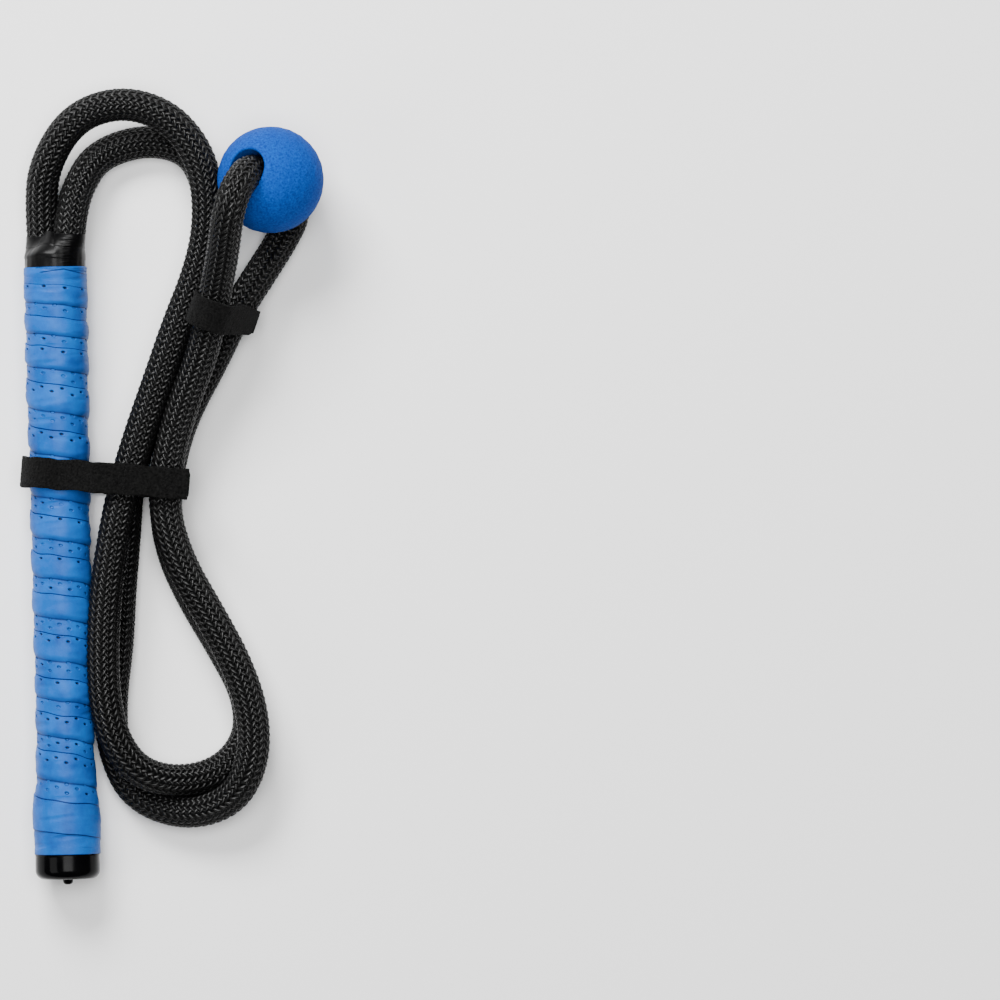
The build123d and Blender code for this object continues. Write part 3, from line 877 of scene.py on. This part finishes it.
def make_cap():
    """Dipped cap: straight side, rounded end with a shallow dish, and a nib in the middle."""
    end_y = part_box("end_cap")[0].y / MM
    face_y = end_y + NIB_LENGTH
    skirt_y = WRAP_BUTT_Y + SKIRT_LENGTH
    nib = [
        (NEARLY_AXIS, end_y), (0.9, end_y), (1.5, end_y + 0.2),
        (NIB_R - 0.12, end_y + 0.75), (NIB_R, end_y + 1.5), (NIB_R + 0.1, face_y - 0.1),
    ]
    dish = [(NIB_R + 0.7, face_y + 0.25), (5.0, face_y + 0.35), (8.0, face_y + 0.15)]
    rounding = arc((CAP_R - CAP_ROUNDING, face_y + CAP_ROUNDING), CAP_ROUNDING, -90, 0, 14)
    side = [(CAP_R, face_y + 6.0), (CAP_R - 0.05, WRAP_BUTT_Y - 1.2), (CAP_R, WRAP_BUTT_Y + 0.2)]
    skirt = [(SKIRT_R, WRAP_BUTT_Y + 0.4), (SKIRT_R, skirt_y), (SKIRT_INNER_R, skirt_y)]
    inside = [(SKIRT_INNER_R, face_y + CAP_FLOOR), (NEARLY_AXIS, face_y + CAP_FLOOR)]
    rings = lathe_on_grip(nib + dish + rounding + side + skirt + inside, CAP_SIDES)
    piece = make_piece("butt_cap", [solid_from_rings(rings)], cap_material())
    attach(piece, "grip")
    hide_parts("end_cap")


# ---- collar ----
COLLAR_SIDES = 260
COLLAR_ROWS = 72
COLLAR_OVER_TAPE = 1.1
COLLAR_OVER_ROPE = 0.50
COLLAR_GRIP_R = 13.05
COLLAR_MEAN_R = 13.5
COLLAR_THICKNESS = 0.62
INNER_ROW_EVERY = 6
# The top edge, under the CAD's, and the tongue that runs up between the ropes: its length, the
# angle that it lies at and its half width, in radians.
COLLAR_TOP_DROP = 1.2
TONGUE_LENGTH, TONGUE_AT, TONGUE_WIDTH = 1.4, -0.45, 0.36
# Shares of the collar's length between which it turns from round to the ropes' outline.
COLLAR_NARROWS = (0.40, 1.02)
WAIST_WIDTH, WAIST_DEPTH = 3.0, 0.6
WAIST_BEGINS = (0.25, 1.0)
# The tape's lapped edges, by how far up they run, and how much they slant.
COLLAR_LAPS = ((0.30, 0.05), (0.62, -0.06))
COLLAR_LAP_HEIGHT = 0.16
LAP_SHARPNESS = 0.012
# A band of small pleats on top, to the right of the middle, where the tape was pulled round.
PLEATS_AT, PLEATS_WIDTH, PLEAT_HEIGHT = 5.6, 2.4, 0.13
PLEATS_BEGIN = (0.05, 0.2)
COLLAR_SWELL = 0.05


def make_collar():
    """Vinyl tape wound round the grip's end and both ropes: round below, two lobes above."""
    low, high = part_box("collar_tape")
    low_y = low.y / MM - COLLAR_OVER_TAPE
    first, last = (np.array(ROUTE_MM[i])[[0, 2]] for i in (0, -1))
    middle = (first + last) / 2
    apart = np.linalg.norm(last - first) / 2
    tilt = math.atan2(last[1] - first[1], last[0] - first[0])
    angle = np.linspace(0, 2 * np.pi, COLLAR_SIDES, endpoint=False)[None, :]
    t = np.linspace(0, 1, COLLAR_ROWS)[:, None]

    # The top edge rises and dips a little, apart from its tongue.
    tips = 0.5 * np.sin(angle + 0.6) + 0.35 * np.sin(3 * angle + 2.0)
    from_tongue = np.mod(angle - TONGUE_AT + np.pi, 2 * np.pi) - np.pi
    tongue = TONGUE_LENGTH * hump(from_tongue, 0, TONGUE_WIDTH)
    y = low_y + (high.y / MM + tips + tongue - COLLAR_TOP_DROP - low_y) * t

    # The outline round both ropes: two half circles, and straight lines between them.
    lobe_r = ROPE_D / 2 + COLLAR_OVER_ROPE
    sine, cosine = np.sin(angle + tilt), np.cos(angle + tilt)
    on_flat = lobe_r / np.maximum(np.abs(cosine), 1e-6)
    on_lobe = apart * np.abs(sine) + np.sqrt(np.maximum(lobe_r**2 - (apart * cosine) ** 2, 0))
    outline = np.where(np.abs(on_flat * sine) < apart, on_flat, on_lobe)
    share = smoothstep(*COLLAR_NARROWS, t) ** 0.8
    radius = COLLAR_GRIP_R * (1 - share) + outline * share
    waist = hump(outline * sine, 0, WAIST_WIDTH)
    radius = radius - WAIST_DEPTH * waist * smoothstep(*WAIST_BEGINS, t) ** 1.3

    for edge_at, slant in COLLAR_LAPS:
        line = edge_at + slant * np.sin(angle + edge_at * 9)
        above = smoothstep(line - LAP_SHARPNESS, line + LAP_SHARPNESS, t)
        radius = radius + COLLAR_LAP_HEIGHT * (above - 0.5)
    pleated = hump(outline * np.sin(angle), PLEATS_AT, PLEATS_WIDTH) * (cosine > 0)
    pleats = np.sin(y * 2.6 + 1.3 * np.sin(y * 1.1)) + 0.6 * np.sin(y * 4.7 + 1.0)
    radius = radius + PLEAT_HEIGHT * pleats * pleated * smoothstep(*PLEATS_BEGIN, t)
    swell = ripple(angle * COLLAR_MEAN_R * 1.6, y * 0.7, seed=11, shortest=5, longest=14)
    radius = radius + COLLAR_SWELL * swell

    centre_x = GRIP_X * (1 - share) + middle[0] * share
    centre_z = GRIP_Z * (1 - share) + middle[1] * share
    right, up = np.sin(angle), np.cos(angle)
    outer = np.stack([centre_x + radius * right, y, centre_z + radius * up], -1)
    back = slice(None, None, -INNER_ROW_EVERY)
    inner_r = (radius - COLLAR_THICKNESS)[back]
    inner_x, inner_z = centre_x[back] + inner_r * right, centre_z[back] + inner_r * up
    inner = np.stack([inner_x, y[back], inner_z], -1)
    solid = closed_tube(np.concatenate([outer, inner, outer[:1]]))
    piece = make_piece("collar_tape_wound", [solid], tape_material())
    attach(piece, "grip")
    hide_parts("collar_tape")


# ---- ball ----
BALL_R = 22.5
BALL_BORE_R = 8.2
BALL_LIP_R = 0.9
BALL_SIDES = 160
BALL_ARC_POINTS = 110
LIP_ARC_POINTS = 10
BORE_POINTS = 26
BALL_GRAIN = 0.045


def make_ball():
    """Foam ball with a bore along its joint's axis, its mouths rounded over."""
    joint = next(j for j in frame["joints"] if j["name"] == "ball_turn")
    centre = np.array(joint["pos_m"]) / MM
    axis = unit(np.array(joint["axis"], float))
    lip_x = BALL_BORE_R + BALL_LIP_R
    lip_h = math.sqrt((BALL_R - BALL_LIP_R) ** 2 - lip_x**2)
    mouth = math.degrees(math.atan2(lip_h, lip_x))
    profile = arc((lip_x, lip_h), BALL_LIP_R, 180, mouth, LIP_ARC_POINTS)
    profile += arc((0, 0), BALL_R, mouth, -mouth, BALL_ARC_POINTS)[1:-1]
    profile += arc((lip_x, -lip_h), BALL_LIP_R, -mouth, -180, LIP_ARC_POINTS)
    profile += [(BALL_BORE_R, h) for h in np.linspace(-lip_h, lip_h, BORE_POINTS)[1:-1]]
    profile.append(profile[0])
    radius, h = np.array(profile).T
    side = unit(np.cross(axis, (0.0, 1.0, 0.0)))
    up = np.cross(axis, side)
    angles = np.linspace(0, 2 * np.pi, BALL_SIDES, endpoint=False)
    out = np.cos(angles)[:, None] * side + np.sin(angles)[:, None] * up
    rings = centre + radius[:, None, None] * out[None] + h[:, None, None] * axis
    x, y, z = np.moveaxis(rings, -1, 0)
    grain = BALL_GRAIN * ripple(x * 1.3, y + 0.7 * z, seed=21, shortest=2.0, longest=6.0)
    rings = rings + unit(rings - centre) * grain[..., None] * (np.abs(h) < lip_h)[:, None, None]
    piece = make_piece("foam_ball", [closed_tube(rings)], foam_material())
    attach(piece, "ball")
    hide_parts("ball")


# ---- straps ----
STRAP_W = 13.0
PLY = 0.7
PLY_THICK = PLY - 0.04
GAP = 0.15
# How far before its hinge a tab's plies begin.
TAB_LEAD = 4.0
PATH_STEP = 0.5
POINTS_ACROSS = 25
# A ply's section: how far in from its edges the flats end, by its thickness, and how high the
# edges still are, by half of it.
FLAT_ENDS, EDGE_SHOULDER = 0.3, 0.35
# How much the strap's outline wanders, how rough its pile is, and how much a long run sags.
STRAP_WAVER = 0.16
PILE_HEIGHT = 0.05
STRAP_SAG = 0.05
# Radius of the corners that a gathered strap shows at its far bend, and the share of the way
# there at which the gathering begins.
BEND_CORNER_R = 3.6
GATHER_BEGINS = 0.25
# Each strap's plane: a point in it, and the angle from level or from +X that its outline
# starts out at.
STORAGE_PLACE, STORAGE_TURN = (GRIP_X, 14.4, 0.0), math.radians(-5.7)
KEEPER_PLACE, KEEPER_DOWN = (17.6, 81.7, 33.5), math.radians(64.3)
ROPE_AT_KEEPER = (0.34, 0.92, 0.19)


def rounded_path(points, radii):
    """Points along straight runs joined by arcs, in the strap's own plane."""
    points = np.array(points, float)
    line = [points[0]]
    for before, at, after, radius in zip(points, points[1:], points[2:], radii):
        come, go = unit(before - at), unit(after - at)
        half = math.acos(np.clip(come @ go, -1, 1)) / 2
        reach = radius / math.tan(half)
        middle = at + unit(come + go) * radius / math.sin(half)
        first, last = at + come * reach - middle, at + go * reach - middle
        sweep = math.pi - 2 * half
        count = max(4, int(sweep * radius / PATH_STEP))
        for share in np.linspace(0, 1, count + 1):
            weights = np.sin((1 - share) * sweep), np.sin(share * sweep)
            line.append(middle + (first * weights[0] + last * weights[1]) / math.sin(sweep))
    line.append(points[-1])
    runs = np.linalg.norm(np.diff(line, axis=0), axis=1)
    line = np.array(line)[np.concatenate([[True], runs > 1e-6])]
    return even_points(line, PATH_STEP, spare=1.0)[0]


def quarter_round(into, radius):
    """How far a rounded corner cuts into the strap's half width, by a share of its radius."""
    return radius * (1 - np.sqrt(1 - into**2))


def ply_rings(path, plane, offset, seed, sag=0.0, end_corner_r=0.0, gather=None):
    """Rings of one ply: its section is a thin rectangle with round edges, set off from the path.

    Gather is how much narrower the strap is at its far bend, how far it has slipped sideways
    there, and how far along the strap's plane that bend is.
    """
    origin, x_axis, y_axis, across = plane
    tangent = unit(np.gradient(path, axis=0))
    normal = np.stack([-tangent[:, 1], tangent[:, 0]], 1)
    along = np.arange(len(path))[:, None] * PATH_STEP
    half = STRAP_W / 2
    flat_half = half - FLAT_ENDS * PLY_THICK
    sheet = [(w * flat_half, 1.0) for w in np.linspace(-1, 1, POINTS_ACROSS)]
    section = sheet + [(half, EDGE_SHOULDER), (half, -EDGE_SHOULDER)]
    section += [(w, -1.0) for w, _ in sheet[::-1]]
    section += [(-half, -EDGE_SHOULDER), (-half, EDGE_SHOULDER)]
    w, side = np.array(section).T
    w = w + STRAP_WAVER * ripple(along, 0 * w, seed, shortest=5, longest=16)
    if end_corner_r:
        into_corner = 1 - np.clip((along[-1] - along) / end_corner_r, 0, 1)
        cut = quarter_round(into_corner, end_corner_r)
        w = np.sign(w) * np.minimum(np.abs(w), half - cut)
    if gather:
        narrower, slip, far = gather
        gathered = smoothstep(GATHER_BEGINS * far, far, path[:, :1])
        into_bend = np.clip((path[:, :1] - far + BEND_CORNER_R) / BEND_CORNER_R, 0, 1)
        cut = quarter_round(into_bend, BEND_CORNER_R)
        w = w * (1 - narrower / STRAP_W * gathered)
        w = np.sign(w) * np.minimum(np.abs(w), half - narrower / 2 * gathered - cut)
        w = w + slip * gathered
    pile = PILE_HEIGHT * ripple(along, w, seed + 1, shortest=0.9, longest=2.6) * (side > 0)
    lift = offset + side * PLY_THICK / 2 + pile
    lift = lift + sag * ripple(along, 0.4 * w, seed + 2, shortest=18, longest=40)
    flat_points = path[:, None] + normal[:, None] * lift[..., None]
    in_plane = flat_points[..., :1] * x_axis + flat_points[..., 1:] * y_axis
    return origin + in_plane + w[..., None] * across


def make_ply(name, path, plane, offset, material, seed, **shape):
    rings = ply_rings(path, plane, offset, seed, **shape)
    return make_piece(name, [solid_from_rings(rings)], material)


def storage_plane():
    """Upright across the bundle: along it, up, and across the strap."""
    along = np.array([math.cos(STORAGE_TURN), math.sin(STORAGE_TURN), 0.0])
    up = np.array([0.0, 0.0, 1.0])
    return np.array(STORAGE_PLACE), along, up, np.cross(along, up)


def keeper_plane():
    """Square to the rope by the ball: from the upper leg to the lower one, out, and across."""
    across = unit(-np.array(ROPE_AT_KEEPER))
    level = unit(np.cross((0.0, 0.0, 1.0), across))
    up = np.cross(across, level)
    to_lower_leg = level * math.cos(KEEPER_DOWN) - up * math.sin(KEEPER_DOWN)
    return np.array(KEEPER_PLACE), to_lower_leg, np.cross(across, to_lower_leg), across


def make_strap(name, plane, loop, tab, seed, gather=None):
    """A closed loop of two plies, and the free end beyond the hinge that peels away.

    Loop is its outline's corners and their radii. Tab is where the hinge and the tab's end are
    along the plane, how high the tab lies in it, and the radius of its end's corners.
    """
    hinge, tab_end, height, corner_r = tab
    loop_side, hook_side = loop_material(), hook_material()
    plies = (("hook", hook_side, -PLY / 2), ("loop", loop_side, PLY / 2))
    path = rounded_path(*loop)
    shape = {"sag": STRAP_SAG, "gather": gather}
    for ply, material, offset in plies:
        piece = make_ply(f"{name}_strap_{ply}_ply", path, plane, offset, material, seed, **shape)
        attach(piece, "grip")
        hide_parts(f"{name}_strap_{ply}")
    path = rounded_path([(hinge - TAB_LEAD, height), (tab_end, height)], [])
    shape = {"end_corner_r": corner_r, "gather": gather}
    for ply, material, offset in plies:
        piece = make_ply(f"{name}_tab_{ply}_ply", path, plane, offset, material, seed, **shape)
        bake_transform(piece)
        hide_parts(f"{name}_tab_{ply}")


def make_straps():
    """The long strap round grip and rope, and the small one round the rope's legs by the ball."""
    rope_top = 31.0
    over = rope_top + 2 * PLY + GAP
    hinge = 32.0
    # From the rope's top, down its far side, back under everything, up round the grip, and over
    # the strap's own start to the hinge.
    points = [
        (20.0, rope_top), (54.0, rope_top), (54.0, PLY), (-15.6, PLY),
        (-15.6, 28.3), (0.0, 28.7), (16.0, over), (hinge - TAB_LEAD, over),
    ]
    radii = [8.0, 8.0, 13.5, 13.4, 10.0, 10.0]
    tab = (hinge, 55.8, over, 2.2)
    make_strap("storage", storage_plane(), (points, radii), tab, seed=31)
    half = 8.05
    over = half + 2 * PLY + GAP
    hinge = 6.0
    # The same way round the rope's two legs.
    points = [
        (2.0, half), (31.6, half), (31.6, -half),
        (-9.9, -half), (-9.9, over), (hinge - TAB_LEAD, over),
    ]
    radii = [half - 0.05] * 4
    tab = (hinge, 22.8, over, 4.4)
    gather = (3.4, 2.2, 31.6)
    make_strap("keeper", keeper_plane(), (points, radii), tab, seed=41, gather=gather)


# ---- what stays as CAD ----
def finish_hidden_nodes():
    """Inner parts that the tape and rope cover: plain but procedural materials."""
    tube = hidden_material("tube_plastic", (0.05, 0.05, 0.055), (0.09, 0.09, 0.095), 0.45, 90.0)
    paper = hidden_material("build_up_tape", (0.50, 0.45, 0.36), (0.60, 0.55, 0.45), 0.8, 300.0)
    glue = hidden_material("set_adhesive", (0.62, 0.54, 0.34), (0.74, 0.66, 0.46), 0.35, 120.0)
    tape = tape_material()
    hidden = {"handle_tube": tube, "underwrap": paper, "anchor_filler": glue}
    hidden |= {"tail_whipping_a": tape, "tail_whipping_b": tape}
    for name, material in hidden.items():
        node = frame["nodes"][name]
        node.data.materials.clear()
        node.data.materials.append(material)


make_camera()
make_rope()
make_tails()
make_stage()
make_tape()
make_cap()
make_collar()
make_ball()
make_straps()
finish_hidden_nodes()
